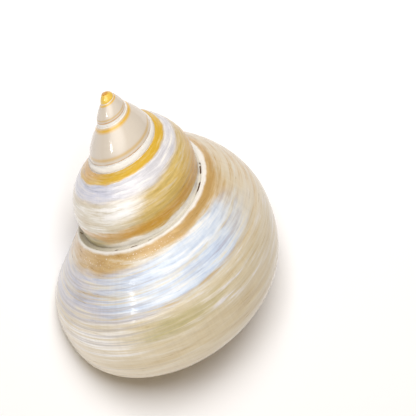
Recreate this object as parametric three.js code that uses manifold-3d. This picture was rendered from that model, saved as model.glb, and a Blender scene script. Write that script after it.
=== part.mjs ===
// Turban shell: a polished, right-handed sea snail shell lying on its mouth.
// One solid body, in millimetres, +Z up, the ground at Z = 0.
// A turn of 0 is the front of the last whorl, and the shell grows with the turn.

import * as THREE from 'three';
import { LoftGeometry } from 'three/addons/geometries/LoftGeometry.js';
import { mergeVertices } from 'three/addons/utils/BufferGeometryUtils.js';
import Module from 'manifold-3d';

// Growth of the crest, the ridge that runs along the seam between two whorls
const CREST_RADIUS = 13.71;
const CREST_DROP = 25.45;
const TIP_DROP = 0.71;
const GROWTH = 0.6407;
const GROWTH_SLOWING = 0.0484;
const DROP_POWER = 0.9704;
const MOUTH_DROOP = 6;
const DROOP_FROM = 0.3;

// Whorl outline one turn before the front, as multiples of the crest radius
const YOUNG = {
  belly: 1.835,
  bellyDrop: 1.227,
  shoulderPull: 0.288,
  shoulderSlope: 0.012,
  bellyPullUp: 0.479,
  bellyPullDown: 0.561,
  basePull: 1.036,
  base: 0.766,
  baseDrop: 2.795,
};

// Whorl outline at the front of the last whorl
const ADULT = {
  belly: 1.709,
  bellyDrop: 1.196,
  shoulderPull: 0.592,
  shoulderSlope: 0.739,
  bellyPullUp: 0.465,
  bellyPullDown: 0.438,
  basePull: 0.992,
  base: 0.676,
  baseDrop: 2.096,
};

// Turns where the flat-sided spire gives way to the rounded whorls
const SPIRE_INSET = 0.965;
const SPIRE_END = -1.75;
const ROUND_START = -1.3;

// Ridge and groove along the seam at the front of the last whorl
const RIDGE_WIDTH = 0.55;
const GROOVE_WIDTH = 0.4;
const GROOVE_DEPTH = 0.9;

// Wall and mouth
const WALL = 1.9;
const LIP = 1.0;
const LIP_THIN_FROM = 0.02;
const LIP_THIN_TO = 0.26;
const COLUMELLA_TOP = 3;
const COLUMELLA_BOTTOM = 5.2;
const CORE_RADIUS = 0.4;
const AXIS_GAP = 0.02;
const TIP_RADIUS = 0.85;
const TIP_TOP = 1.6;
const TIP_CONE_DROP = 6;

// Turns where the whorls, the hollow and the mouth begin and end
const FIRST_TURN = -3.6;
const INNER_END = -0.42;
const HOLLOW_START = -0.38;
const MOUTH_TURN = 0.5;
const HOLLOW_END = 0.56;
const STEPS_PER_TURN = 28;
const NOSE = 0.02;

// How the shell lies: lean from upright, heading of the lean, spin on its own axis,
// height of the tip above the ground, and the tip's place across the ground
const LEAN = 45.09;
const HEADING = 115.91;
const SPIN = 175.6;
const TIP_HEIGHT = 39.35;
const TIP_X = -10.75;
const TIP_Y = 26.22;

const wasm = await Module();
wasm.setup();

function solidOf(geometry) {
  const bare = new THREE.BufferGeometry();
  bare.setAttribute('position', geometry.attributes.position);
  bare.setIndex(geometry.index);
  const merged = mergeVertices(bare, 1e-4);
  const vertProperties = new Float32Array(merged.attributes.position.array);
  const triVerts = new Uint32Array(merged.index.array);
  return new wasm.Manifold(new wasm.Mesh({ numProp: 3, vertProperties, triVerts }));
}

function crestAt(turn) {
  const r = CREST_RADIUS * Math.exp(GROWTH * turn - GROWTH_SLOWING * turn * turn);
  const droop = MOUTH_DROOP * THREE.MathUtils.smoothstep(turn, DROOP_FROM, MOUTH_TURN);
  const h = CREST_DROP * (r / CREST_RADIUS) ** DROP_POWER + TIP_DROP + droop;
  return { r, h };
}

function shapeAt(turn) {
  const age = THREE.MathUtils.clamp(turn + 1, -0.3, 1.5);
  const flat = 1 - THREE.MathUtils.smoothstep(turn, SPIRE_END, ROUND_START);
  const here = crestAt(turn);
  const next = crestAt(turn + 1);
  const belly = (SPIRE_INSET * next.r) / here.r;
  const bellyDrop = (next.h - here.h) / here.r;
  const side = Math.hypot(belly - 1, bellyDrop);
  const spire = {
    belly,
    bellyDrop,
    shoulderPull: 0.33 * side,
    shoulderSlope: Math.atan2(bellyDrop, belly - 1),
    bellyPullUp: 0.3 * side,
    bellyPullDown: 0.4,
    basePull: 0.9,
    base: 0.75,
    baseDrop: bellyDrop + 0.9,
  };
  const shape = {};
  for (const key of Object.keys(YOUNG)) {
    const grown = YOUNG[key] + (ADULT[key] - YOUNG[key]) * age;
    shape[key] = grown + (spire[key] - grown) * flat;
  }
  return shape;
}

// Outside line of a whorl from the crest over the belly to the base, as (radius, drop)
function outlineAt(turn) {
  const { r, h } = crestAt(turn);
  const s = shapeAt(turn);
  const at = (x, y) => new THREE.Vector2(x * r, h + y * r);
  const upper = new THREE.CubicBezierCurve(
    at(1, 0),
    at(1 + s.shoulderPull * Math.cos(s.shoulderSlope), s.shoulderPull * Math.sin(s.shoulderSlope)),
    at(s.belly, s.bellyDrop - s.bellyPullUp),
    at(s.belly, s.bellyDrop),
  );
  const lower = new THREE.CubicBezierCurve(
    at(s.belly, s.bellyDrop),
    at(s.belly, s.bellyDrop + s.bellyPullDown),
    at(s.base + s.basePull, s.baseDrop),
    at(s.base, s.baseDrop),
  );
  const under = new THREE.QuadraticBezierCurve(
    at(s.base, s.baseDrop),
    at(s.base * 0.5, s.baseDrop),
    at(AXIS_GAP, s.baseDrop - 0.12),
  );
  return [...upper.getPoints(8), ...lower.getPoints(8).slice(1), ...under.getPoints(3).slice(1)];
}

// Closed section of the solid whorl, with the ridge and groove on its inner shoulder
function outerSection(turn) {
  const { r, h } = crestAt(turn);
  const open = THREE.MathUtils.smoothstep(turn, ROUND_START, -0.3);
  const size = (r / CREST_RADIUS) * (0.15 + 0.85 * open);
  const floor = h + GROOVE_DEPTH * size;
  const rim = new THREE.Vector2(r - RIDGE_WIDTH * size, h + 0.1 * size);
  const groove = new THREE.Vector2(r - (RIDGE_WIDTH + GROOVE_WIDTH) * size, floor);
  const axis = new THREE.Vector2(AXIS_GAP * r, floor);
  return [...outlineAt(turn), axis, groove, rim];
}

// Closed section of the hollow, one wall thickness inside the whorl
function hollowSection(turn) {
  const { r, h } = crestAt(turn);
  const thin = THREE.MathUtils.smoothstep(turn, LIP_THIN_FROM, LIP_THIN_TO);
  const wall = WALL + (LIP - WALL) * thin;
  const roof = h + GROOVE_DEPTH * (r / CREST_RADIUS) + wall;
  const line = outlineAt(turn);
  const inner = line.map((point, i) => {
    const before = line[Math.max(i - 1, 0)];
    const after = line[Math.min(i + 1, line.length - 1)];
    const along = after.clone().sub(before).normalize();
    const moved = new THREE.Vector2(point.x - along.y * wall, point.y + along.x * wall);
    const radius = Math.max(moved.x, AXIS_GAP * r);
    return new THREE.Vector2(radius, moved.y);
  });
  const kept = inner.map((point, i) => new THREE.Vector2(point.x, Math.max(point.y, roof + 0.01 * i)));
  return [...kept, new THREE.Vector2(AXIS_GAP * r, roof)];
}

function placed(section, turn) {
  const angle = -2 * Math.PI * turn;
  const points = section.map(
    (p) => new THREE.Vector3(p.x * Math.cos(angle), p.x * Math.sin(angle), -p.y),
  );
  return points.reverse();
}

// A section drawn in towards its middle
function drawnIn(section) {
  const middle = section.reduce((sum, p) => sum.add(p), new THREE.Vector2());
  middle.divideScalar(section.length);
  return section.map((p) => p.clone().lerp(middle, 0.25));
}

// A whorl from one turn to another, lofted in stretches of less than half a turn.
// Each stretch ends in a short nose that lies inside the next one.
function whorl(sectionAt, from, to) {
  const stretches = Math.ceil((to - from) / 0.45);
  let body = null;
  for (let k = 0; k < stretches; k += 1) {
    const a = from + ((to - from) * k) / stretches;
    const b = from + ((to - from) * (k + 1)) / stretches;
    const steps = Math.ceil((b - a) * STEPS_PER_TURN);
    const sections = [];
    for (let i = 0; i <= steps; i += 1) {
      const turn = a + ((b - a) * i) / steps;
      sections.push(placed(sectionAt(turn), turn));
    }
    sections.push(placed(drawnIn(sectionAt(b)), b + NOSE));
    const loft = new LoftGeometry(sections, { closed: true, capStart: true, capEnd: true });
    const solid = solidOf(loft);
    body = body ? body.add(solid) : solid;
  }
  return body;
}

// A round bar on the axis, from one drop and radius to another
function bar(top, topRadius, bottom, bottomRadius) {
  const line = [
    new THREE.Vector2(0, -bottom),
    new THREE.Vector2(bottomRadius, -bottom),
    new THREE.Vector2(topRadius, -top),
    new THREE.Vector2(0, -top),
  ];
  const lathe = new THREE.LatheGeometry(line, 20);
  lathe.rotateX(Math.PI / 2);
  return solidOf(lathe);
}

// The rounded tip and the cone under it that closes the first turn
function tip() {
  const cone = (TIP_CONE_DROP - TIP_DROP) * (CREST_RADIUS / CREST_DROP);
  const line = [
    new THREE.Vector2(0, -TIP_CONE_DROP),
    new THREE.Vector2(cone, -TIP_CONE_DROP),
    new THREE.Vector2(TIP_RADIUS, -TIP_TOP - TIP_RADIUS),
    new THREE.Vector2(0.85 * TIP_RADIUS, -TIP_TOP - 0.47 * TIP_RADIUS),
    new THREE.Vector2(0.5 * TIP_RADIUS, -TIP_TOP - 0.13 * TIP_RADIUS),
    new THREE.Vector2(0, -TIP_TOP),
  ];
  const lathe = new THREE.LatheGeometry(line, 20);
  lathe.rotateX(Math.PI / 2);
  return solidOf(lathe);
}

// The ground, which trims the mouth to a flat lip
function ground() {
  const box = new THREE.BoxGeometry(200, 200, 100);
  box.translate(0, 0, -50);
  return solidOf(box);
}

// Turn the upright shell to the way it lies
function laid(solid) {
  const pose = new THREE.Matrix4().makeTranslation(TIP_X, TIP_Y, TIP_HEIGHT);
  pose.multiply(new THREE.Matrix4().makeRotationZ(THREE.MathUtils.degToRad(HEADING)));
  pose.multiply(new THREE.Matrix4().makeRotationY(THREE.MathUtils.degToRad(LEAN)));
  pose.multiply(new THREE.Matrix4().makeRotationZ(THREE.MathUtils.degToRad(SPIN)));
  return solid.transform(pose.elements);
}

const lastWhorl = whorl(outerSection, INNER_END, MOUTH_TURN);
const hollow = whorl(hollowSection, HOLLOW_START, HOLLOW_END);
const innerWhorls = whorl(outerSection, FIRST_TURN, INNER_END);
const columella = lastWhorl.intersect(bar(30, COLUMELLA_TOP, 64, COLUMELLA_BOTTOM));
const core = bar(3, CORE_RADIUS, 54, CORE_RADIUS);
const upright = lastWhorl.subtract(hollow).add(columella).add(innerWhorls).add(core).add(tip());
const shellSolid = laid(upright).subtract(ground());

function geometryOf(solid) {
  const mesh = solid.getMesh();
  const geometry = new THREE.BufferGeometry();
  geometry.setAttribute('position', new THREE.BufferAttribute(mesh.vertProperties, 3));
  geometry.setIndex(new THREE.BufferAttribute(mesh.triVerts, 1));
  geometry.computeVertexNormals();
  return geometry;
}

const nacre = new THREE.MeshStandardMaterial({ color: 0xdcc9a6, roughness: 0.22, metalness: 0 });
const shell = new THREE.Mesh(geometryOf(shellSolid), nacre);
shell.name = 'shell';

const part = new THREE.Group();
part.add(shell);

export default part;
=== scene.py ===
"""A polished turban shell, lying on its mouth and seen from above its spire."""

import math
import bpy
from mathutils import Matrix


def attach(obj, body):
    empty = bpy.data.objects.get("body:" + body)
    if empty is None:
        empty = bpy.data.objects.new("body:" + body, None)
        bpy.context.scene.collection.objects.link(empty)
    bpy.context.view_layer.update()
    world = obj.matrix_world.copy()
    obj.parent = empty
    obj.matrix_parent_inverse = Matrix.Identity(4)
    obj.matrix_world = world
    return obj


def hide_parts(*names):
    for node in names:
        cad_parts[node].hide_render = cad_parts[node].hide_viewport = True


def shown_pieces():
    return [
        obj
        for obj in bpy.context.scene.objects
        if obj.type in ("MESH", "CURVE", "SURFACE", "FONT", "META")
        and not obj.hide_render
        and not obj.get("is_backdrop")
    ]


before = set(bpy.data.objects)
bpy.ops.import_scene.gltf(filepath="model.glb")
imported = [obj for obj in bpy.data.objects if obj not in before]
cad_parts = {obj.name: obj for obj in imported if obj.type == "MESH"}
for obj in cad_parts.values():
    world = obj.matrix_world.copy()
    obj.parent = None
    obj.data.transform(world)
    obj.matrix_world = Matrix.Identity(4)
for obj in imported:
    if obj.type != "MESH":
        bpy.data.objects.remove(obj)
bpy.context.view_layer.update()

from types import SimpleNamespace

import bmesh
import bpy
from bpy.props import FloatProperty, FloatVectorProperty, PointerProperty
from mathutils import Matrix, Vector, noise

bl_info = {
    "name": "Turban shell",
    "version": (1, 0, 0),
    "blender": (4, 5, 0),
    "location": "View3D > Sidebar > Turban shell",
    "description": "Grows a polished turban shell and sets the studio round it",
    "category": "Object",
}

# The outline of a whorl, from its crest out to its belly and in to its base, as shares of the
# crest's radius: one whorl before the last, and at the front of the last.
YOUNG = {
    "belly": 1.835, "belly_drop": 1.227, "shoulder_pull": 0.288, "shoulder_slope": 0.012,
    "belly_pull_up": 0.479, "belly_pull_down": 0.561, "base_pull": 1.036, "base": 0.766,
    "base_drop": 2.795,
}
ADULT = {
    "belly": 1.709, "belly_drop": 1.196, "shoulder_pull": 0.592, "shoulder_slope": 0.739,
    "belly_pull_up": 0.465, "belly_pull_down": 0.438, "base_pull": 0.992, "base": 0.676,
    "base_drop": 2.096,
}
SPIRE_INSET = 0.965  # the flat-sided spire's whorls stop just inside the next crest
SPIRE_END = -1.75
ROUND_START = -1.3
SPIRE_BULGE = 0.16  # how far the spire's sides swell, as a turn of their upper edge

# Turns are counted from the front of the last whorl, and grow towards the mouth.
FIRST_TURN = -5.0
CAP_FADES = (-3.7, -2.8)  # where the tip's wide cap runs out
CORD_STARTS = (-1.6, -1.4)  # where the suture becomes a raised cord
CORD_ENDS = (-0.65, -0.42)  # and where it becomes a groove
HOLLOW_START = -0.38
MOUTH_TURN = 0.5
HOLLOW_END = 0.56
STEPS = 96  # sections in one turn
SHOULDER_POINTS = 64
BASE_POINTS = 28
WELD = 1e-6  # points nearer than this, in metres, become one
SHARP = math.radians(50)  # edges turned further than this are drawn sharp

# The suture's section, from the groove's foot to the crest: (share of the ridge's width, share
# of the groove's width, share of the groove's depth, place across the whorl).
SUTURE = (
    (1.0, 1.0, 1.0, -0.14), (1.0, 0.55, 0.72, -0.11), (1.0, 0.25, 0.35, -0.08),
    (1.0, 0.0, 0.05, -0.05), (0.75, 0.0, -0.10, -0.04), (0.5, 0.0, -0.15, -0.03),
    (0.25, 0.0, -0.12, -0.018), (0.06, 0.0, -0.04, -0.006),
)
FLOOR_POINTS = 3

# The same points where the suture is a raised cord: (share of the way down it, share of its bulge).
CORD = (
    (0.0, 0.0), (0.03, -0.25), (0.06, -0.35), (0.09, -0.2), (0.12, 0.35), (0.17, 0.75),
    (0.28, 1.0), (0.44, 1.05), (0.62, 1.0), (0.82, 0.8), (0.95, 0.35),
)

# Millimetres round the last whorl, and across it from crest to axis, for the size of patterns.
GIRTH_MM = 145
SIDE_MM = 40

# The map that the material reads: its first turn and how many, its first place across and how far.
MAP_TURN, MAP_TURNS = -6.0, 8.0
MAP_ACROSS, MAP_WIDTH = -0.5, 3.0
ACROSS_LOW = -0.35  # the bands' reach across a whorl, from the groove to inside the mouth
ACROSS_SPAN = 1.6
SPIRE_FOOT = (-1.6, -1.4)  # the turns where smooth porcelain gives way to streaked pearl
RAGGED = 0.05  # how far the bands' edges stray across the whorl
SWAY = 0.02  # how far the bands' ends stray along it, as a share of the map
STREAK_LOW, STREAK_RANGE = 0.37, 0.26  # the part of the streaks' noise that the colours fill

# The suture's colours, by place across the whorl.
SUTURE_COLOURS = (
    (-0.3, "floor"), (-0.13, "floor"), (-0.09, "groove"), (-0.05, "chalk"), (0.004, "chalk"),
)

# Where each colour lies: turns from and to, places across the whorl from and to, how soft the
# edges are along and across, and the streaks' colours from their dark side to their light one.
ZONES = (
    # The spire: porcelain, with a yellow band under each suture and two fine lines over the next.
    (-6.0, -1.45, -0.01, 0.60, 0.10, 0.010, ("porcelain", "porcelain", "porcelain")),
    (-6.0, -1.45, 0.018, 0.062, 0.10, 0.018, ("spire_yellow", "spire_yellow", "spire_yellow")),
    (-6.0, -1.45, 0.330, 0.365, 0.10, 0.014, ("spire_tan", "spire_tan", "spire_tan")),
    (-6.0, -1.45, 0.396, 0.416, 0.10, 0.007, ("spire_brown", "spire_brown", "porcelain")),
    (-6.0, -1.62, 0.430, 0.60, 0.10, 0.007, ("groove", "chalk", "chalk")),
    # The second whorl: a gold band, then silver, then honey down to the groove, with a painted highlight
    # and painted glints.
    (-1.50, -0.48, 0.0, 0.70, 0.06, 0.010, ("brass", "honey", "straw")),
    (-1.18, -1.02, 0.25, 0.43, 0.04, 0.040, ("honey", "pale_gold", "cream")),
    (-1.50, -1.12, 0.40, 0.62, 0.08, 0.080, ("amber", "amber", "brass")),
    (-0.93, -0.48, 0.27, 0.60, 0.05, 0.030, ("shell_pink", "cream_line", "pearl")),
    # Painted glints on the second whorl's low side, where the light shines back.
    (-0.98, -0.84, 0.29, 0.42, 0.03, 0.030, ("cream", "pearl", "pearl")),
    (-1.50, -0.48, 0.135, 0.265, 0.06, 0.020, ("silver", "bright", "chalk")),
    # Painted highlight: the silver whitened where the second whorl faces the light.
    (-1.07, -0.91, 0.115, 0.290, 0.04, 0.030, ("silver", "bright", "pearl")),
    (-0.91, -0.48, 0.12, 0.25, 0.05, 0.020, ("lavender", "sky", "bright")),
    (-1.50, -0.48, 0.0, 0.130, 0.06, 0.010, ("gold", "gold", "pale_gold")),
    (-0.84, -0.48, 0.0, 0.10, 0.05, 0.015, ("ochre", "gold_edge", "straw")),
    (-1.30, -0.74, 0.515, 0.580, 0.04, 0.020, ("amber", "amber", "tan")),
    (-1.50, -0.48, 0.590, 0.90, 0.06, 0.008, ("groove", "chalk", "chalk")),
    (-0.86, -0.70, 0.55, 0.90, 0.03, 0.020, ("stain", "olive", "tan")),
    # The last whorl: ochre under the ridge, silver over the shoulder with a painted bluish sheen and
    # painted highlights where it faces the light, painted glints low down, and cream to the base.
    (-0.52, 0.70, 0.0, 1.10, 0.06, 0.010, ("sand", "wheat", "cream", "bright")),
    (-0.52, 0.70, 0.50, 1.10, 0.06, 0.080, ("sand", "wheat", "cream")),
    (-0.52, -0.10, 0.05, 0.34, 0.05, 0.030, ("tan", "shell_pink", "cream")),
    (-0.19, -0.11, 0.03, 0.12, 0.03, 0.030, ("ochre", "tan", "shell_pink")),
    (0.06, 0.70, 0.07, 0.31, 0.05, 0.015, ("mauve", "lavender", "silver", "cream_line")),
    # Painted sheen: the last whorl's silver turns bluish white where it faces the light.
    (-0.13, 0.12, 0.068, 0.29, 0.05, 0.015, ("lavender", "blue", "painted_blue_highlight", "cream_line")),
    # Painted highlights: two blue-white patches where the light shines back brightest.
    (-0.11, 0.05, 0.065, 0.165, 0.03, 0.015, ("blue", "painted_blue_highlight", "pearl")),
    (0.0, 0.12, 0.19, 0.280, 0.03, 0.015, ("blue", "painted_blue_highlight", "pearl")),
    (-0.52, 0.70, 0.276, 0.290, 0.04, 0.007, ("straw", "cream", "cream")),
    (-0.52, 0.70, 0.160, 0.172, 0.04, 0.006, ("straw", "cream_line", "blue")),
    (-0.005, 0.06, 0.34, 0.45, 0.02, 0.025, ("olive", "olive", "wheat")),
    # Painted glints: white streaks low on the last whorl, where the white floor shines back.
    (0.09, 0.20, 0.35, 0.52, 0.03, 0.030, ("wheat", "pearl", "pearl")),
    (-0.52, 0.70, 0.0, 0.050, 0.06, 0.012, ("ochre", "ochre", "tan")),
    (0.09, 0.32, 0.0, 0.080, 0.04, 0.020, ("ochre", "tan", "cream_line")),
)


def linear(code):
    """An sRGB hex colour as linear red, green, blue and alpha."""
    parts = [int(code[i : i + 2], 16) / 255 for i in (1, 3, 5)]
    return [c / 12.92 if c <= 0.04045 else ((c + 0.055) / 1.055) ** 2.4 for c in parts] + [1.0]


def size_prop(name, description, default):
    """A length that a user may change."""
    return FloatProperty(name=name, description=description, default=default, unit="LENGTH")


def colour_prop(name, description, code):
    """A colour that a user may change, by its hex value."""
    return FloatVectorProperty(
        name=name, description=description, default=linear(code), size=4, subtype="COLOR",
        min=0, max=1,
    )


class ShellColours(bpy.types.PropertyGroup):
    """The bands of the polished wall, from the suture to the base, and the painted highlights and sheen on
    it.
    """

    chalk: colour_prop("Chalk", "White ridge along the suture", "#F9F6F0")
    groove: colour_prop("Groove", "Wall of the groove", "#EDE7DA")
    floor: colour_prop("Groove floor", "Floor of the groove", "#E8E2D4")
    ochre: colour_prop("Ochre", "Edge under the ridge", "#C6A36C")
    tan: colour_prop("Tan", "Shoulder under the ridge", "#D4B685")
    silver: colour_prop("Silver", "Grey silver", "#D9D7DC")
    blue: colour_prop("Blue", "Blue silver", "#CDDAEE")
    lavender: colour_prop("Lavender", "Lavender silver", "#C6CADC")
    cream_line: colour_prop("Cream line", "Thin lines between the silver bands", "#E2DCCB")
    straw: colour_prop("Straw", "Yellow line under the silver", "#D8BE8E")
    cream: colour_prop("Cream", "Cream wall", "#DCD2BC")
    wheat: colour_prop("Wheat", "Warm cream wall", "#DBCDAF")
    sand: colour_prop("Sand", "Wall at the base", "#D8C6A4")
    shell_pink: colour_prop("Shell pink", "Pale warm wall at the side", "#DFD0B4")
    gold_edge: colour_prop("Gold edge", "Gold at the second whorl's ridge", "#D8A95C")
    gold: colour_prop("Gold", "Gold band", "#E0B855")
    pale_gold: colour_prop("Pale gold", "Ragged edge of the gold", "#E2C784")
    # This near-white serves both the nacre's brightest streaks and the painted highlights and glints.
    pearl: colour_prop("Pearl", "Brightest streaks", "#F8F6F3")
    # This blue white is a painted highlight, for where the last whorl faces the light.
    painted_blue_highlight: colour_prop("Ice", "Bluest streaks of the last whorl", "#DFE8F4")
    # Bright is also the middle of the painted highlight on the second whorl.
    bright: colour_prop("Bright", "Silver beside the gold", "#E6E4E8")
    sky: colour_prop("Sky", "Blue silver on the second whorl", "#DADCEB")
    honey: colour_prop("Honey", "Second whorl's side", "#D0B676")
    brass: colour_prop("Brass", "Second whorl's low side", "#C6A860")
    amber: colour_prop("Amber", "Second whorl at the groove", "#D0A04E")
    porcelain: colour_prop("Porcelain", "Spire", "#DED4C6")
    spire_yellow: colour_prop("Spire yellow", "Yellow band of the spire", "#E9BE62")
    spire_tan: colour_prop("Spire tan", "Tan band of the spire", "#D9BE92")
    spire_brown: colour_prop("Spire brown", "Thin brown line of the spire", "#D3A064")
    tip_gold: colour_prop("Tip", "Tip", "#F2CF6E")
    tip_heart: colour_prop("Tip heart", "Middle of the tip", "#DCA450")
    mouth: colour_prop("Mouth", "Inside of the mouth", "#D2A870")
    mauve: colour_prop("Mauve", "Darker silver streaks", "#B9B2B0")
    olive: colour_prop("Olive", "Olive streaks of the last whorl", "#BFB487")
    speck: colour_prop("Speck", "Specks in the groove", "#5E3E24")
    stain: colour_prop("Stain", "Stain in the groove by the mouth", "#A0946A")


class ShellSizes(bpy.types.PropertyGroup):
    """How the shell grows and how it lies."""

    crest_radius: size_prop("Crest radius", "Axis to suture at the front of the last whorl", 0.01371)
    crest_drop: size_prop("Crest drop", "Tip to suture, along the axis", 0.02545)
    tip_drop: size_prop("Tip drop", "How far the spire's point falls short", 0.00056)
    tip_round: size_prop("Tip rounding", "How blunt the tip is", 0.0014)
    tip_swell: FloatProperty(
        name="Tip swell", description="How much wider the tip's cap is", default=0.32
    )
    growth: FloatProperty(name="Growth", description="Growth of the crest in a turn", default=0.6407)
    slowing: FloatProperty(name="Slowing", description="How the growth slows", default=0.0484)
    drop_power: FloatProperty(name="Drop power", description="How drop follows radius", default=0.9704)
    mouth_droop: size_prop("Mouth droop", "How far the whorl sags at the mouth", 0.006)
    droop_from: FloatProperty(name="Droop from", description="Turn where the sag starts", default=0.3)
    ridge_width: size_prop("Ridge width", "Width of the white ridge along the suture", 0.00055)
    groove_width: size_prop("Groove width", "Width of the groove's wall", 0.0004)
    groove_depth: size_prop("Groove depth", "Depth of the groove along the suture", 0.0009)
    cord_height: size_prop("Cord height", "Height of the white cord round the spire's foot", 0.0027)
    cord_bulge: size_prop("Cord bulge", "How far that cord stands out", 0.0004)
    wall: size_prop("Wall", "Thickness of the wall", 0.0019)
    lip: size_prop("Lip", "Thickness of the wall at the lip", 0.001)
    callus: size_prop("Callus", "Glaze on the whorl inside the mouth", 0.00015)
    pillar_top: size_prop("Pillar top", "Radius of the inner pillar, high in the shell", 0.003)
    pillar_bottom: size_prop("Pillar bottom", "Radius of the inner pillar at the base", 0.0052)
    cord_relief: size_prop("Cord relief", "Height of the faint spiral cords", 0.00003)
    lean: FloatProperty(
        name="Lean", description="Axis from upright", default=math.radians(45.09), subtype="ANGLE"
    )
    heading: FloatProperty(
        name="Heading", description="Where the tip points", default=math.radians(115.91), subtype="ANGLE"
    )
    spin: FloatProperty(
        name="Spin", description="Turn about the axis", default=math.radians(175.6), subtype="ANGLE"
    )
    tip: FloatVectorProperty(
        name="Tip", description="Where the tip is", default=(-0.01075, 0.02622, 0.03935),
        subtype="TRANSLATION", unit="LENGTH",
    )


def values(group):
    """A property group's values, copied once so that the long sums read them quickly."""
    return SimpleNamespace(**{key: getattr(group, key) for key in group.__annotations__})


def smoothstep(x, low, high):
    """0 below low, 1 above high, and a smooth rise between."""
    k = min(max((x - low) / (high - low), 0.0), 1.0)
    return k * k * (3 - 2 * k)


def crest(z, turn):
    """The suture's radius and its drop from the tip."""
    r = z.crest_radius * math.exp(z.growth * turn - z.slowing * turn * turn)
    rise = z.crest_drop * (r / z.crest_radius) ** z.drop_power
    droop = z.mouth_droop * smoothstep(turn, z.droop_from, MOUTH_TURN)
    blunt = (rise**4 + z.tip_round**4) ** 0.25
    swell = 1 + z.tip_swell * (1 - smoothstep(turn, *CAP_FADES))
    return r * swell, blunt + z.tip_drop + droop


def shape(z, turn):
    """The whorl's outline numbers: round on the two big whorls, flat-sided up the spire."""
    age = min(max(turn + 1, -0.3), 1.5)
    grown = {key: YOUNG[key] + (ADULT[key] - YOUNG[key]) * age for key in YOUNG}
    flat = 1 - smoothstep(turn, SPIRE_END, ROUND_START)
    if flat == 0:
        return grown
    r, h = crest(z, turn)
    next_r, next_h = crest(z, turn + 1)
    belly, belly_drop = SPIRE_INSET * next_r / r, (next_h - h) / r
    side = math.hypot(belly - 1, belly_drop)
    straight = {
        "belly": belly, "belly_drop": belly_drop, "shoulder_pull": 0.33 * side,
        "shoulder_slope": math.atan2(belly_drop, belly - 1) - SPIRE_BULGE, "belly_pull_up": 0.3 * side,
        "belly_pull_down": 0.4, "base_pull": 0.9, "base": 0.75, "base_drop": belly_drop + 0.9,
    }
    return {key: grown[key] + (straight[key] - grown[key]) * flat for key in grown}


def outline(z, turn):
    """The whorl's outline as three curves: shoulder, base and underside, each by its control points."""
    r, h = crest(z, turn)
    s = shape(z, turn)
    pull, slope = s["shoulder_pull"], s["shoulder_slope"]
    belly, drop, base, low = s["belly"], s["belly_drop"], s["base"], s["base_drop"]
    upper = ((1, 0), (1 + pull * math.cos(slope), pull * math.sin(slope)),
             (belly, drop - s["belly_pull_up"]), (belly, drop))
    lower = ((belly, drop), (belly, drop + s["belly_pull_down"]),
             (base + s["base_pull"], low), (base, low))
    under = ((base, low), (base * 0.5, low), (0, low - 0.12))
    return [[Vector((x * r, h + y * r)) for x, y in arc] for arc in (upper, lower, under)]


def along(arcs, u):
    """The point at u on an outline: 0 at the crest, 1 at the belly, 2 at the base and 3 on the axis."""
    i = min(int(u), 2)
    points = arcs[i]
    while len(points) > 1:
        points = [p.lerp(q, u - i) for p, q in zip(points, points[1:])]
    return points[0]


def inward(arcs, u):
    """The direction into the wall at u on an outline."""
    step = (along(arcs, min(u + 0.01, 3)) - along(arcs, max(u - 0.01, 0))).normalized()
    return Vector((-step.y, step.x))


def find(test, low, high):
    """Where test turns from false to true between low and high."""
    for _ in range(36):
        middle = (low + high) / 2
        low, high = (low, middle) if test(middle) else (middle, high)
    return (low + high) / 2


def suture_size(z, turn):
    """The suture's size against its size at the front of the last whorl: fine on the spire."""
    wide = smoothstep(turn, ROUND_START, -0.3)
    return crest(z, turn)[0] / z.crest_radius * (0.15 + 0.85 * wide)


def corded(turn):
    """How far the suture is a raised cord, as round the foot of the spire, and not a groove."""
    return smoothstep(turn, *CORD_STARTS) * (1 - smoothstep(turn, *CORD_ENDS))


def groove_floor(z, turn):
    """The drop of the suture's inner edge: a groove's floor, or a cord's upper edge."""
    r, h = crest(z, turn)
    deep = z.groove_depth * (0.22 + 0.1 * smoothstep(turn, 0.14, 0.26)) * suture_size(z, turn)
    high = z.cord_height * r / z.crest_radius
    return h + deep - (deep + high) * corded(turn)


def joint(z, turn):
    """Where on its outline a whorl meets the floor of the next whorl's groove."""
    arcs, floor = outline(z, turn), groove_floor(z, turn + 1)
    return find(lambda u: along(arcs, u).y > floor, 0.0, 2.0)


def across(u):
    """Place across the whorl: 0 at the crest, 0.5 at the belly, 0.9 at the base and 1 on the axis."""
    return 0.5 * u if u < 1 else 0.5 + 0.4 * (u - 1) if u < 2 else 0.9 + 0.1 * (u - 2)


def relief(z, turn, s):
    """Height of the faint spiral cords and growth waves on the polished wall."""
    fade = smoothstep(turn, -1.9, -1.2)
    cords = math.sin(2 * math.pi * s / 0.052 + 1.4 * noise.noise(Vector((turn * 5, s * 9, 0))))
    waves = noise.noise(Vector((turn * 9, s * 5, 3))) * 1.6 + noise.noise(Vector((turn * 3, s * 26, 7)))
    return z.cord_relief * fade * (cords + waves)


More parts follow.
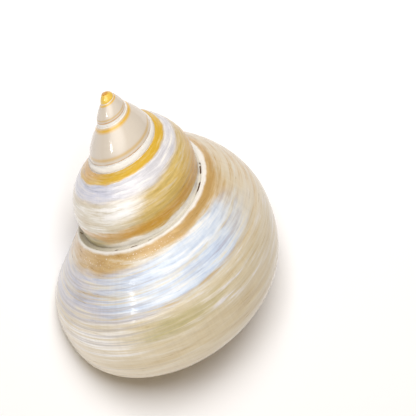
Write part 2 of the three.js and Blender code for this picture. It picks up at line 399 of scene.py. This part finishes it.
def shoulder_section(z, turn):
    """The section that shows on every whorl: groove, ridge and wall down to the next groove."""
    r, h = crest(z, turn)
    size = suture_size(z, turn)
    swell = 1.5 - 0.95 * smoothstep(turn, -0.25, 0.05) if turn > -0.5 else 1.0
    swell *= 1 + 0.2 * noise.noise(Vector((turn * 30, 0, 11)))
    ridge, groove = z.ridge_width * size * swell, z.groove_width * size
    before, arcs = outline(z, turn - 1), outline(z, turn)
    start = along(before, joint(z, turn - 1))
    depth = start.y - h
    foot = max(r - ridge - groove, start.x + 0.1 * groove)
    section = []
    for k in range(FLOOR_POINTS):
        share = k / FLOOR_POINTS
        section.append((Vector((start.x + (foot - start.x) * share, start.y)), -0.3 + 0.16 * share))
    for wide, deep_wide, deep, place in SUTURE:
        x = max(r - ridge * wide - groove * deep_wide, start.x + 0.1 * groove)
        section.append((Vector((x, h + depth * deep)), place))
    cord, crest_point = corded(turn), Vector((r, h))
    if cord:
        out = Vector((crest_point.y - start.y, start.x - crest_point.x)).normalized()
        for k, (point, place) in enumerate(section):
            share = CORD[k][0]
            rough = 1 + 0.5 * noise.noise(Vector((turn * 70, share * 3, 5)))
            bulge = out * (CORD[k][1] * z.cord_bulge * rough * r / z.crest_radius)
            section[k] = (point.lerp(start.lerp(crest_point, share) + bulge, cord), place)
    end = joint(z, turn)
    for k in range(SHOULDER_POINTS + 1):
        u = end * k / SHOULDER_POINTS
        edge = min(k / 8, (SHOULDER_POINTS - k) / 5, 1)
        point = along(arcs, u)
        if 0 < k < SHOULDER_POINTS:
            point = point - inward(arcs, u) * relief(z, turn, across(u)) * edge
        section.append((point, across(u)))
    return section


def base_section(z, turn):
    """The rest of the last whorl's section: from the line of the next groove in to the axis."""
    arcs, start = outline(z, turn), joint(z, turn)
    places = [start + (3 - start) * k / BASE_POINTS for k in range(BASE_POINTS + 1)]
    section = []
    for k, u in enumerate(places):
        point = along(arcs, u)
        if 0 < k < BASE_POINTS:
            edge = min(k / 5, (BASE_POINTS - k) / 8, 1)
            point = point - inward(arcs, u) * relief(z, turn, across(u)) * edge
        section.append((point, across(u)))
    return section


def hollow_section(z, turn):
    """The hollow's closed section: roof, outer wall, floor, pillar and the whorl before."""
    thin = smoothstep(turn, 0.02, 0.26)
    wall = z.wall + (z.lip - z.wall) * thin
    roof = groove_floor(z, turn) + wall
    arcs, before = outline(z, turn), outline(z, turn - 1)

    def pillar(h):
        return z.pillar_top + (z.pillar_bottom - z.pillar_top) * (h - 0.03) / 0.034

    def inside(u):
        return along(arcs, u) + inward(arcs, u) * wall

    def glaze(u):
        return along(before, u) - inward(before, u) * z.callus

    top = find(lambda u: inside(u).y > roof, 0.0, 1.5)
    bottom = find(lambda u: inside(u).x < pillar(inside(u).y), 1.2, 3.0)
    high = find(lambda u: glaze(u).y > roof, 0.0, 2.0)
    low = find(lambda u: glaze(u).x < pillar(glaze(u).y), 1.0, 3.0)
    roof_in, roof_out = glaze(high), inside(top)
    pillar_low, pillar_high = inside(bottom), glaze(low)
    section = [(roof_in.lerp(roof_out, k / 4), 1.1 + 0.02 * k) for k in range(4)]
    section += [(inside(top + (bottom - top) * k / 30), 1.2 + 0.4 * k / 30) for k in range(30)]
    section += [(pillar_low.lerp(pillar_high, k / 8), 1.62 + 0.1 * k / 8) for k in range(8)]
    section += [(glaze(low + (high - low) * k / 18), 1.75 + 0.2 * k / 18) for k in range(18)]
    return section


def resting_place(z):
    """The turn and shift from the upright shell to the shell as it lies."""
    return (
        Matrix.Translation(z.tip) @ Matrix.Rotation(z.heading, 4, "Z")
        @ Matrix.Rotation(z.lean, 4, "Y") @ Matrix.Rotation(z.spin, 4, "Z")
    )


def sweep(bm, section, turns, place, closed=False):
    """Lays a grid along the turns, a section to a row, and keeps each point's turn and place across."""
    turn_at = bm.verts.layers.float.get("turn") or bm.verts.layers.float.new("turn")
    across_at = bm.verts.layers.float.get("across") or bm.verts.layers.float.new("across")
    rows = [section(turn) for turn in turns]
    if closed:
        rows = [row + row[:1] for row in rows]
    wide, long = len(rows[0]) - 1, len(rows) - 1
    for v in bmesh.ops.create_grid(bm, x_segments=wide, y_segments=long, size=1)["verts"]:
        row = round((v.co.y + 1) / 2 * long)
        point, v[across_at] = rows[row][round((v.co.x + 1) / 2 * wide)]
        v[turn_at] = turns[row]
        angle = -2 * math.pi * turns[row]
        v.co = place @ Vector((point.x * math.cos(angle), point.x * math.sin(angle), -point.y))


def lay_out(bm):
    """Writes each corner's turn and place across the whorl to the map that the material reads."""
    whorl = bm.loops.layers.uv.new("whorl")
    turn_at = bm.verts.layers.float["turn"]
    across_at = bm.verts.layers.float["across"]
    for face in bm.faces:
        for corner in face.loops:
            corner[whorl].uv = (
                (corner.vert[turn_at] - MAP_TURN) / MAP_TURNS,
                (corner.vert[across_at] - MAP_ACROSS) / MAP_WIDTH,
            )


def close(bm):
    """Welds the turns along the sutures, fills the open ends and turns the faces outwards."""
    bmesh.ops.remove_doubles(bm, verts=bm.verts, dist=WELD)
    bmesh.ops.dissolve_degenerate(bm, edges=bm.edges, dist=WELD)
    edges = [e for e in bm.edges if e.is_boundary]
    bmesh.ops.holes_fill(bm, edges=edges, sides=0)
    bmesh.ops.triangulate(bm, faces=[f for f in bm.faces if len(f.verts) > 4])
    bmesh.ops.recalc_face_normals(bm, faces=bm.faces)


def turns_between(first, last):
    """The turns that get a section, from first to last."""
    return [first + k / STEPS for k in range(round((last - first) * STEPS) + 1)]


def as_object(bm, name, material):
    """Makes the finished mesh an object at the origin, in its one material."""
    for face in bm.faces:
        face.smooth = True
    mesh = bpy.data.meshes.new(name)
    bm.to_mesh(mesh)
    bm.free()
    mesh.materials.append(material)
    piece = bpy.data.objects.new(name, mesh)
    bpy.context.scene.collection.objects.link(piece)
    return piece


def add(tree, kind, *inputs, stops=(), **settings):
    """Adds a shader node: settings, inputs in order, each a value or what feeds it, and a ramp's stops."""
    made = tree.nodes.new("ShaderNode" + kind)
    for key, value in settings.items():
        setattr(made, key, value)
    for socket, value in zip(made.inputs, inputs):
        if isinstance(value, bpy.types.Node):
            value = value.outputs[0]
        if isinstance(value, bpy.types.NodeSocket):
            tree.links.new(value, socket)
        elif value is not None:
            socket.default_value = value
    for k, (place, colour) in enumerate(stops):
        ramp = made.color_ramp.elements
        stop = ramp[k] if k < 2 else ramp.new(place)
        stop.position, stop.color = place, colour
    return made


def window(low, high, soft, start, span):
    """A ramp's stops whose alpha is full between low and high and nil outside, with soft edges."""
    edges = ((low - soft, 0), (low + soft, 1), (high - soft, 1), (high + soft, 0))
    return [(min(max((x - start) / span, 0), 1), (1, 1, 1, v)) for x, v in edges]


def polished_nacre(colours):
    """Mother of pearl, ground bare and buffed: clear gloss over streaks that follow the growth,
    silver where the layers are thin, a painted bluish sheen with painted highlights and glints where the
    whorls face the light, and a chalky ridge that the wheel missed."""
    material = bpy.data.materials.new("polished_nacre")
    material.use_nodes = True
    tree = material.node_tree
    shader = tree.nodes["Principled BSDF"]
    whorl = add(tree, "SeparateXYZ", add(tree, "UVMap", uv_map="whorl"))
    turn = add(tree, "Math", whorl.outputs[0], MAP_TURNS, MAP_TURN, operation="MULTIPLY_ADD")
    side = add(tree, "Math", whorl.outputs[1], MAP_WIDTH, MAP_ACROSS, operation="MULTIPLY_ADD")
    spot = add(tree, "TexCoord").outputs["Object"]

    def streaks(length, width, seed, slant=0.0, detail=3.0):
        """Noise drawn out along the whorl, by a streak's length and width in millimetres."""
        along_it = add(tree, "Math", turn, GIRTH_MM / length, operation="MULTIPLY")
        over_it = add(tree, "Math", side, SIDE_MM / width, operation="MULTIPLY")
        over_it = add(tree, "Math", turn, slant * GIRTH_MM / width, over_it, operation="MULTIPLY_ADD")
        drawn = add(tree, "CombineXYZ", along_it, over_it, seed)
        return add(tree, "TexNoise", drawn, None, 1.0, detail, 0.6)

    def grain(size, detail, rough):
        """Noise with no direction, by its size in millimetres."""
        return add(tree, "TexNoise", spot, None, 1000 / size, detail, rough)

    def patch(first, last, turn_soft, height, low, high, soft):
        """A patch of the wall: its turns from and to, and its places across at a height."""
        here = add(tree, "ValToRGB", turns, stops=window(first, last, turn_soft, MAP_TURN, MAP_TURNS))
        there = add(tree, "ValToRGB", height, stops=window(low, high, soft, ACROSS_LOW, ACROSS_SPAN))
        return add(tree, "Math", here.outputs["Alpha"], there.outputs["Alpha"], operation="MULTIPLY")

    # Streaks of four sizes, each from its own slice of the noise.
    long_streak = streaks(16, 1.5, 1.0, slant=0.03)
    fine_streak = streaks(6, 0.6, 2.0, slant=0.06)
    cloud = streaks(14, 5, 3.0, slant=0.06)
    brush = streaks(7, 0.7, 4.0, slant=0.06)
    mixed = add(tree, "Math", long_streak, 0.6, operation="MULTIPLY")
    mixed = add(tree, "Math", fine_streak, 0.4, mixed, operation="MULTIPLY_ADD")

    # The bands' edges are ragged on the whorls and clean on the spire.
    clean = add(tree, "Math", side, 1 / ACROSS_SPAN, -ACROSS_LOW / ACROSS_SPAN, operation="MULTIPLY_ADD")
    stray = add(tree, "Math", brush, cloud, operation="ADD")
    stray = add(tree, "Math", stray, 1.0, operation="SUBTRACT")
    stray = add(tree, "Math", stray, add(tree, "MapRange", turn, *SPIRE_FOOT), operation="MULTIPLY")
    level = add(tree, "Math", stray, RAGGED / ACROSS_SPAN, clean, operation="MULTIPLY_ADD")
    sway = add(tree, "Math", cloud, 0.5, operation="SUBTRACT")
    turns = add(tree, "Math", sway, SWAY, whorl.outputs[0], operation="MULTIPLY_ADD")

    colour = colours.wheat
    for first, last, low, high, turn_soft, soft, names in ZONES:
        share = patch(first, last, turn_soft, level, low, high, soft)
        places = [STREAK_LOW + STREAK_RANGE * k / (len(names) - 1) for k in range(len(names))]
        shades = [(place, getattr(colours, name)) for place, name in zip(places, names)]
        colour = add(tree, "MixRGB", share, colour, add(tree, "ValToRGB", mixed, stops=shades))

    # Thin spiral lines, warm and grey by turns, that the grinding left on the side by the mouth.
    lines = streaks(60, 0.8, 5.0, detail=2.0)
    lined = patch(0.03, 0.7, 0.06, clean, 0.07, 0.6, 0.03)
    warm = add(tree, "MapRange", lines, 0.54, 0.62, 0.0, 0.75)
    warm = add(tree, "Math", warm, lined, operation="MULTIPLY")
    colour = add(tree, "MixRGB", warm, colour, colours.wheat)
    cool = add(tree, "MapRange", lines, 0.46, 0.38, 0.0, 0.6)
    cool = add(tree, "Math", cool, lined, operation="MULTIPLY")
    colour = add(tree, "MixRGB", cool, colour, colours.mauve)

    # The suture: a crumbly white ridge, a pale groove with brown specks, and a stain by the mouth.
    crumble = add(tree, "Math", grain(1.667, 2.0, 0.5), 0.5, operation="SUBTRACT")
    rim = add(tree, "Math", crumble, 0.012, side, operation="MULTIPLY_ADD")
    edge = add(tree, "MapRange", rim, 0.012, 0.002)
    grooved = add(tree, "MapRange", turn, -0.62, -0.45)
    stops = [((x - ACROSS_LOW) / ACROSS_SPAN, getattr(colours, name)) for x, name in SUTURE_COLOURS]
    white = add(tree, "MixRGB", grooved, colours.chalk, add(tree, "ValToRGB", clean, stops=stops))
    colour = add(tree, "MixRGB", edge, colour, white)
    specks = add(tree, "MapRange", grain(3.03, 3.0, 0.6), 0.57, 0.61)
    specks = add(tree, "Math", specks, grooved, operation="MULTIPLY")
    foot = add(tree, "ValToRGB", clean, stops=window(-0.17, -0.055, 0.01, ACROSS_LOW, ACROSS_SPAN))
    specks = add(tree, "Math", specks, foot.outputs["Alpha"], operation="MULTIPLY")
    colour = add(tree, "MixRGB", specks, colour, colours.speck)
    stain = patch(0.15, 0.42, 0.05, clean, -0.34, -0.03, 0.012)
    stain = add(tree, "Math", stain, 0.45, operation="MULTIPLY")
    colour = add(tree, "MixRGB", stain, colour, colours.stain)

    # White flecks on the ochre shoulder, then the gold tip and the warm inside of the mouth.
    flecks = add(tree, "MapRange", grain(0.3125, 1.0, 0.5), 0.66, 0.72, 0.0, 0.8)
    flecked = patch(0.0, 0.26, 0.06, clean, 0.012, 0.06, 0.01)
    flecks = add(tree, "Math", flecks, flecked, operation="MULTIPLY")
    colour = add(tree, "MixRGB", flecks, colour, colours.chalk)
    tip = add(tree, "MapRange", turn, -3.25, -3.6)
    colour = add(tree, "MixRGB", tip, colour, colours.tip_gold)
    heart = add(tree, "MapRange", turn, -4.1, -4.5)
    colour = add(tree, "MixRGB", heart, colour, colours.tip_heart)
    mouth = add(tree, "MapRange", side, 1.02, 1.08)
    colour = add(tree, "MixRGB", mouth, colour, colours.mouth)

    # Streaks and the fine lines of growth, which cross them, darken and lighten the whole wall.
    calm = add(tree, "MapRange", turn, *SPIRE_FOOT, 0.06, 0.45)
    growth = add(tree, "Math", streaks(0.7, 12, 6.0), 0.3, mixed, operation="MULTIPLY_ADD")
    growth = add(tree, "Math", growth, 0.65, operation="SUBTRACT")
    shade = add(tree, "Math", growth, calm, 0.79, operation="MULTIPLY_ADD")
    tint = add(tree, "HueSaturation", 0.5, 1.1, shade, 1.0, colour)
    tree.links.new(tint.outputs[0], shader.inputs["Base Color"])

    # The buffing wheel leaves the spire like glass, the whorls a little waved and the ridge dull.
    bump = add(tree, "Bump", add(tree, "MapRange", turn, *SPIRE_FOOT, 0.03, 0.6), 0.0003)
    tree.links.new(mixed.outputs[0], bump.inputs["Height"])
    tree.links.new(bump.outputs[0], shader.inputs["Normal"])
    tree.links.new(bump.outputs[0], shader.inputs["Coat Normal"])
    chalk = add(tree, "MapRange", side, 0.012, 0.0)
    worn = add(tree, "MapRange", turn, *SPIRE_FOOT, 0.08, 0.22)
    rough = add(tree, "Math", fine_streak, 0.16, worn, operation="MULTIPLY_ADD")
    rough = add(tree, "Math", chalk, 0.4, rough, operation="MULTIPLY_ADD")
    tree.links.new(rough.outputs[0], shader.inputs["Roughness"])
    shader.inputs["IOR"].default_value = 1.6
    shader.inputs["Coat Weight"].default_value = 0.6
    shader.inputs["Coat Roughness"].default_value = 0.08
    return material


class SHELL_OT_grow(bpy.types.Operator):
    """Grows the shell: its whorls, its hollow and its lip"""

    bl_idname = "shell.grow"
    bl_label = "Grow the shell"

    def execute(self, context):
        z = values(context.scene.shell_sizes)
        place = resting_place(z)
        nacre = polished_nacre(context.scene.shell_colours)
        bm = bmesh.new()
        sweep(bm, lambda t: shoulder_section(z, t), turns_between(FIRST_TURN, MOUTH_TURN), place)
        sweep(bm, lambda t: base_section(z, t), turns_between(MOUTH_TURN - 1, MOUTH_TURN), place)
        lay_out(bm)
        close(bm)
        shell = as_object(bm, "shell_nacre", nacre)
        bm = bmesh.new()
        sweep(bm, lambda t: hollow_section(z, t), turns_between(HOLLOW_START, HOLLOW_END), place, True)
        lay_out(bm)
        close(bm)
        hollow = as_object(bm, "hollow", nacre)
        cut = shell.modifiers.new("hollow", "BOOLEAN")
        cut.operation, cut.solver, cut.object = "DIFFERENCE", "MANIFOLD", hollow
        context.view_layer.update()
        bored = bpy.data.meshes.new_from_object(shell.evaluated_get(context.evaluated_depsgraph_get()))
        shell.modifiers.clear()
        shell.data = bored
        bpy.data.objects.remove(hollow)
        bm = bmesh.new()
        bm.from_mesh(bored)
        everything = list(bm.verts) + list(bm.edges) + list(bm.faces)
        bmesh.ops.bisect_plane(
            bm, geom=everything, dist=1e-7, plane_co=(0, 0, 0), plane_no=(0, 0, 1), clear_inner=True
        )
        rim = [e for e in bm.edges if e.is_boundary]
        bmesh.ops.triangle_fill(bm, edges=rim, use_beauty=True, normal=(0, 0, -1))
        bmesh.ops.remove_doubles(bm, verts=bm.verts, dist=2 * WELD)
        bmesh.ops.recalc_face_normals(bm, faces=bm.faces)
        if not all(edge.is_manifold for edge in bm.edges):
            raise RuntimeError("the shell is not closed")
        for edge in bm.edges:
            edge.smooth = len(edge.link_faces) == 2 and edge.calc_face_angle(0) < SHARP
        for face in bm.faces:
            face.smooth = True
        bm.to_mesh(bored)
        bm.free()
        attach(shell, "root")
        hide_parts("shell")
        return {"FINISHED"}


# The lights: name, place, width, height, power, whether they light the wall or gloss it, and
# whether the floor is flagged off from them.
LIGHTS = (
    ("overhead_softbox", (0.02, 0.13, 0.49), 0.26, 0.26, 2.75, True, False, False),
    ("front_fill", (-0.14, -0.42, 0.16), 0.4, 0.25, 1.15, True, False, True),
    ("side_strip", (-0.39, -0.178, 0.278), 0.08, 0.035, 0.2, False, True, True),
)
LUSTRE_FROM = (-0.45, -0.22, 0.86)  # where the pale wall lies that the gloss mirrors softly
AIM = Vector((0, 0, 0.015))  # the middle of the shell, which the lights face
FLOOR_WHITE = "#F6F6F8"
ROOM_LOW, ROOM_HIGH = "#80501C", "#FFE4C0"  # the room's own light, at the horizon and overhead
ROOM_LIGHT = 0.24

# The camera: its focal length and the picture's width in pixels, its tilt off straight down, and
# its place to the right of the tip, above it and back from it.
FOCAL_PIXELS, PICTURE_PIXELS = 1600, 416
CAMERA_TILT = math.radians(8)
CAMERA_FROM_TIP = Vector((0.01915, -0.02223, 0.288))
SENSOR_MM = 36


class SHELL_OT_stage(bpy.types.Operator):
    """Sets the floor, the lights and the camera"""

    bl_idname = "shell.stage"
    bl_label = "Set the stage"

    def execute(self, context):
        scene = context.scene
        bm = bmesh.new()
        bmesh.ops.create_grid(bm, x_segments=1, y_segments=1, size=2)
        paper = bpy.data.materials.new("white paper")
        paper.use_nodes = True
        paper.node_tree.nodes["Principled BSDF"].inputs["Base Color"].default_value = linear(FLOOR_WHITE)
        paper.node_tree.nodes["Principled BSDF"].inputs["Roughness"].default_value = 0.9
        floor = as_object(bm, "floor", paper)
        floor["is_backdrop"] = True
        world = bpy.data.worlds.new("studio")
        scene.world = world
        world.use_nodes = True
        tree = world.node_tree
        way = add(tree, "TexCoord").outputs["Generated"]
        height = add(tree, "SeparateXYZ", way).outputs[2]
        ramp = add(tree, "ValToRGB", height, stops=[(0.0, linear(ROOM_LOW)), (0.6, linear(ROOM_HIGH))])
        gloss = add(tree, "LightPath").outputs["Is Glossy Ray"]
        tone = add(tree, "MixRGB", gloss, ramp, linear("#FFFFFF"))
        facing = add(tree, "VectorMath", way, LUSTRE_FROM, operation="DOT_PRODUCT").outputs["Value"]
        lustre = add(
            tree, "MapRange", facing, 0.8, 1.0, 0.4, 2.8, interpolation_type="SMOOTHSTEP"
        )
        power = add(tree, "MapRange", gloss, 0.0, 1.0, ROOM_LIGHT, lustre)
        tree.links.new(tone.outputs[0], tree.nodes["Background"].inputs["Color"])
        tree.links.new(power.outputs[0], tree.nodes["Background"].inputs["Strength"])
        shell_only = bpy.data.collections.new("shell_only")
        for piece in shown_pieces():
            shell_only.objects.link(piece)
        for name, place, wide, tall, power, lights, glosses, flagged in LIGHTS:
            lamp = bpy.data.lights.new(name, "AREA")
            lamp.shape, lamp.size, lamp.size_y, lamp.energy = "RECTANGLE", wide, tall, power
            box = bpy.data.objects.new(name, lamp)
            box.location = place
            box.visible_diffuse, box.visible_glossy = lights, glosses
            if flagged:
                box.light_linking.receiver_collection = shell_only
            box.rotation_euler = (AIM - box.location).to_track_quat("-Z", "Y").to_euler()
            scene.collection.objects.link(box)
        camera = bpy.data.objects.new("camera", bpy.data.cameras.new("camera"))
        camera.data.sensor_width = SENSOR_MM
        camera.data.lens = SENSOR_MM * FOCAL_PIXELS / PICTURE_PIXELS
        camera.data.clip_start = 0.01
        swing = Matrix.Rotation(CAMERA_TILT, 3, "X")
        camera.location = Vector(scene.shell_sizes.tip) + swing @ CAMERA_FROM_TIP
        camera.rotation_euler = (CAMERA_TILT, 0, 0)
        scene.collection.objects.link(camera)
        scene.camera = camera
        scene.view_settings.view_transform = "Standard"
        return {"FINISHED"}


class SHELL_PT_panel(bpy.types.Panel):
    """Lists the shell's steps, sizes and colours"""

    bl_idname = "SHELL_PT_panel"
    bl_label = "Turban shell"
    bl_space_type = "VIEW_3D"
    bl_region_type = "UI"
    bl_category = "Turban shell"

    def draw(self, context):
        self.layout.operator(SHELL_OT_grow.bl_idname)
        self.layout.operator(SHELL_OT_stage.bl_idname)
        for group in (context.scene.shell_sizes, context.scene.shell_colours):
            for key in group.__annotations__:
                self.layout.prop(group, key)


CLASSES = (ShellSizes, ShellColours, SHELL_OT_grow, SHELL_OT_stage, SHELL_PT_panel)


def register():
    for item in CLASSES:
        bpy.utils.register_class(item)
    bpy.types.Scene.shell_sizes = PointerProperty(type=ShellSizes)
    bpy.types.Scene.shell_colours = PointerProperty(type=ShellColours)


def unregister():
    del bpy.types.Scene.shell_colours
    del bpy.types.Scene.shell_sizes
    for item in reversed(CLASSES):
        bpy.utils.unregister_class(item)


def main():
    register()
    bpy.ops.shell.grow()
    bpy.ops.shell.stage()


if __name__ == "__main__":
    main()
